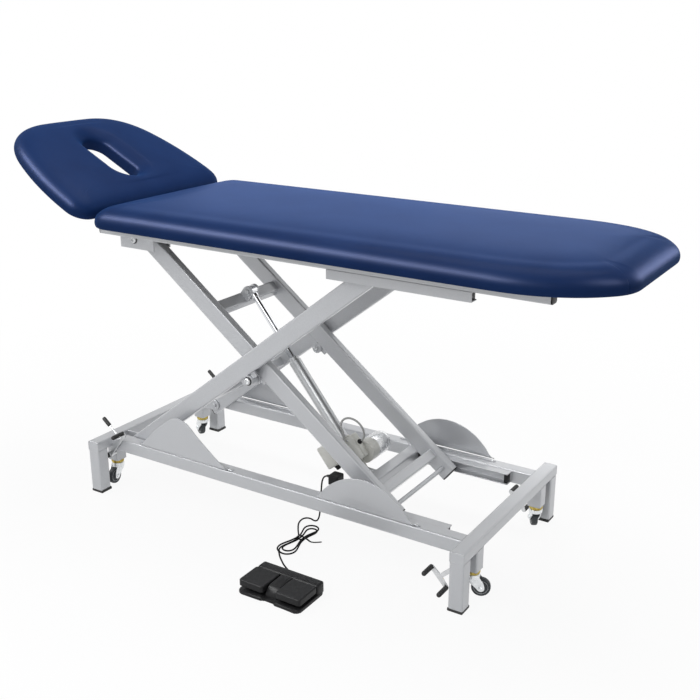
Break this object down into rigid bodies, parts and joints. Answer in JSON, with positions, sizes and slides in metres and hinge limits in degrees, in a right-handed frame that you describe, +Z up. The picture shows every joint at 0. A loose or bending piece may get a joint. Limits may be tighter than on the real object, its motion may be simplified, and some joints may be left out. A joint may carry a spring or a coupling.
{
  "type": "treatment table",
  "caption": "Blue padded electric treatment table with scissor lift, tilting head section with nose slot, lowering castors and a corded foot switch.",
  "frame": {"origin": "middle of the outline on the floor, foot switch included", "axes": "+X towards the foot end, +Y towards the side away from the foot switch, +Z up"},
  "size_m": [1.9281, 0.837, 1.0795],
  "materials": {
    "silver_paint": "satin powder coat",
    "zinc_steel": "bright zinc plate",
    "yellow_zinc": "yellow passivated zinc plate",
    "black_plastic": "matte moulded",
    "blue_vinyl": "leather-grained coated upholstery",
    "plywood": "plain plywood",
    "chromed_steel": "polished",
    "grey_plastic": "fine matte moulded",
    "black_rubber": "matte",
    "tread": "matte"
  },
  "bodies": {
    "base": {"base_frame": "silver_paint", "foot_cap_near_head": "black_plastic", "foot_cap_near_foot": "black_plastic", "foot_cap_far_head": "black_plastic", "foot_cap_far_foot": "black_plastic", "guard_near_head": "silver_paint", "guard_near_foot": "silver_paint", "guard_far_head": "silver_paint", "guard_far_foot": "silver_paint", "roller_channel_near": "zinc_steel", "lower_pivot_bolt_near": "zinc_steel", "roller_channel_far": "zinc_steel", "lower_pivot_bolt_far": "zinc_steel", "cord_socket": "black_plastic", "footswitch_base": "black_plastic", "cord_run": "black_rubber", "cord_hank": "black_rubber", "cord_tail": "black_rubber"},
    "left_pedal": {"pedal_left": "black_plastic"},
    "right_pedal": {"pedal_right": "black_plastic"},
    "outer_arms": {"outer_arm_frame": "silver_paint", "scissor_bolt_near": "zinc_steel", "scissor_bolt_far": "zinc_steel"},
    "top_rollers": {"top_roller_axle": "chromed_steel"},
    "inner_arms": {"inner_arm_frame": "silver_paint", "rod_eye_pin": "zinc_steel"},
    "base_rollers": {"base_roller_axle": "chromed_steel"},
    "top": {"top_frame": "silver_paint", "lift_bolt_near": "zinc_steel", "lift_bolt_far": "zinc_steel", "pad_board": "plywood", "main_pad": "blue_vinyl", "head_hinge_pin_near": "zinc_steel", "head_hinge_pin_far": "zinc_steel"},
    "head": {"head_board": "plywood", "head_pad": "blue_vinyl", "head_arm_near": "zinc_steel", "head_arm_far": "zinc_steel"},
    "rod": {"actuator_rod": "chromed_steel"},
    "actuator": {"actuator_tube": "chromed_steel", "gear_housing": "grey_plastic", "motor": "grey_plastic", "control_box": "grey_plastic", "motor_cable": "grey_plastic"},
    "stem_body_near_head": {"stem_near_head": "yellow_zinc"},
    "fork_body_near_head": {"fork_near_head": "zinc_steel"},
    "wheel_body_near_head": {"wheel_near_head": "tread"},
    "lever_body_near_head": {"lever_near_head": "black_plastic"},
    "stem_body_near_foot": {"stem_near_foot": "yellow_zinc"},
    "fork_body_near_foot": {"fork_near_foot": "zinc_steel"},
    "wheel_body_near_foot": {"wheel_near_foot": "tread"},
    "lever_body_near_foot": {"lever_near_foot": "black_plastic"},
    "stem_body_far_head": {"stem_far_head": "yellow_zinc"},
    "fork_body_far_head": {"fork_far_head": "zinc_steel"},
    "wheel_body_far_head": {"wheel_far_head": "tread"},
    "lever_body_far_head": {"lever_far_head": "black_plastic"},
    "stem_body_far_foot": {"stem_far_foot": "yellow_zinc"},
    "fork_body_far_foot": {"fork_far_foot": "zinc_steel"},
    "wheel_body_far_foot": {"wheel_far_foot": "tread"},
    "lever_body_far_foot": {"lever_far_foot": "black_plastic"}
  },
  "joints": [
    {"name": "lift", "type": "hinge", "parent": "base", "child": "outer_arms", "pos_m": [-0.522, 0.0965, 0.147], "axis": [0, -1, 0], "range_deg": [-21.9, 4]},
    {"name": "scissor", "type": "hinge", "parent": "outer_arms", "child": "inner_arms", "pos_m": [-0.08551, 0.0965, 0.43697], "axis": [0, -1, 0], "range_deg": [-8.2, 44]},
    {"name": "level", "type": "hinge", "parent": "inner_arms", "child": "top", "pos_m": [-0.47278, 0.0965, 0.79], "axis": [0, -1, 0], "range_deg": [-22, 4.1]},
    {"name": "rod_swing", "type": "hinge", "parent": "inner_arms", "child": "rod", "pos_m": [-0.21879, 0.0965, 0.63107], "axis": [0, -1, 0], "range_deg": [-5, 1]},
    {"name": "actuator_stroke", "type": "slide", "parent": "rod", "child": "actuator", "axis": [0.6236, 0, -0.7817], "range_m": [-0.187, 0.035]},
    {"name": "top_rollers_spin", "type": "hinge", "parent": "outer_arms", "child": "top_rollers", "pos_m": [0.30176, 0.0965, 0.79], "axis": [0, 1, 0], "continuous": true},
    {"name": "base_rollers_spin", "type": "hinge", "parent": "inner_arms", "child": "base_rollers", "pos_m": [0.35098, 0.0965, 0.147], "axis": [0, 1, 0], "continuous": true},
    {"name": "head_tilt", "type": "hinge", "parent": "top", "child": "head", "pos_m": [-0.562, 0.0965, 0.815], "axis": [0, 1, 0], "range_deg": [-97, 8]},
    {"name": "pedal_left_press", "type": "hinge", "parent": "base", "child": "left_pedal", "pos_m": [0.1466, -0.3385, 0.026], "axis": [1, 0, 0], "range_deg": [0, 4.5], "stiffness_Nm_per_rad": 3, "springref_deg": -2.86},
    {"name": "pedal_right_press", "type": "hinge", "parent": "base", "child": "right_pedal", "pos_m": [0.2594, -0.3385, 0.026], "axis": [1, 0, 0], "range_deg": [0, 4.5], "stiffness_Nm_per_rad": 3, "springref_deg": -2.86},
    {"name": "lever_turn_near_head", "type": "hinge", "parent": "base", "child": "lever_body_near_head", "pos_m": [-0.598, -0.149, 0.108], "axis": [0, 1, 0], "range_deg": [0, 80]},
    {"name": "castor_drop_near_head", "type": "slide", "parent": "base", "child": "stem_body_near_head", "axis": [0, 0, -1], "range_m": [0, 0.012]},
    {"name": "castor_swivel_near_head", "type": "hinge", "parent": "stem_body_near_head", "child": "fork_body_near_head", "pos_m": [-0.609, -0.1075, 0.0675], "axis": [0, 0, 1], "continuous": true},
    {"name": "wheel_spin_near_head", "type": "hinge", "parent": "fork_body_near_head", "child": "wheel_body_near_head", "pos_m": [-0.60594, -0.12929, 0.028], "axis": [0.9903, 0.1392, 0], "continuous": true},
    {"name": "lever_turn_near_foot", "type": "hinge", "parent": "base", "child": "lever_body_near_foot", "pos_m": [0.608, -0.149, 0.108], "axis": [0, 1, 0], "range_deg": [0, 80]},
    {"name": "castor_drop_near_foot", "type": "slide", "parent": "base", "child": "stem_body_near_foot", "axis": [0, 0, -1], "range_m": [0, 0.012]},
    {"name": "castor_swivel_near_foot", "type": "hinge", "parent": "stem_body_near_foot", "child": "fork_body_near_foot", "pos_m": [0.619, -0.1075, 0.0675], "axis": [0, 0, 1], "continuous": true},
    {"name": "wheel_spin_near_foot", "type": "hinge", "parent": "fork_body_near_foot", "child": "wheel_body_near_foot", "pos_m": [0.6391, -0.09855, 0.028], "axis": [-0.4067, 0.9135, 0], "continuous": true},
    {"name": "lever_turn_far_head", "type": "hinge", "parent": "base", "child": "lever_body_far_head", "pos_m": [-0.598, 0.342, 0.108], "axis": [0, 1, 0], "range_deg": [0, 80]},
    {"name": "castor_drop_far_head", "type": "slide", "parent": "base", "child": "stem_body_far_head", "axis": [0, 0, -1], "range_m": [0, 0.012]},
    {"name": "castor_swivel_far_head", "type": "hinge", "parent": "stem_body_far_head", "child": "fork_body_far_head", "pos_m": [-0.609, 0.3005, 0.0675], "axis": [0, 0, 1], "continuous": true},
    {"name": "wheel_spin_far_head", "type": "hinge", "parent": "fork_body_far_head", "child": "wheel_body_far_head", "pos_m": [-0.62805, 0.3115, 0.028], "axis": [-0.5, -0.866, 0], "continuous": true},
    {"name": "lever_turn_far_foot", "type": "hinge", "parent": "base", "child": "lever_body_far_foot", "pos_m": [0.608, 0.342, 0.108], "axis": [0, 1, 0], "range_deg": [0, 80]},
    {"name": "castor_drop_far_foot", "type": "slide", "parent": "base", "child": "stem_body_far_foot", "axis": [0, 0, -1], "range_m": [0, 0.012]},
    {"name": "castor_swivel_far_foot", "type": "hinge", "parent": "stem_body_far_foot", "child": "fork_body_far_foot", "pos_m": [0.619, 0.3005, 0.0675], "axis": [0, 0, 1], "continuous": true},
    {"name": "wheel_spin_far_foot", "type": "hinge", "parent": "fork_body_far_foot", "child": "wheel_body_far_foot", "pos_m": [0.60734, 0.31916, 0.028], "axis": [-0.848, -0.5299, 0], "continuous": true}
  ],
  "couplings": [
    {"joint": "scissor", "follows": "lift", "ratio": -2},
    {"joint": "level", "follows": "lift", "ratio": 1},
    {"joint": "rod_swing", "follows": "lift", "ratio": 0.219},
    {"joint": "actuator_stroke", "follows": "lift", "m_per_rad": 0.484},
    {"joint": "castor_drop_near_head", "follows": "lever_turn_near_head", "m_per_rad": 0.0085},
    {"joint": "castor_drop_near_foot", "follows": "lever_turn_near_foot", "m_per_rad": 0.0085},
    {"joint": "castor_drop_far_head", "follows": "lever_turn_far_head", "m_per_rad": 0.0085},
    {"joint": "castor_drop_far_foot", "follows": "lever_turn_far_foot", "m_per_rad": 0.0085}
  ]
}
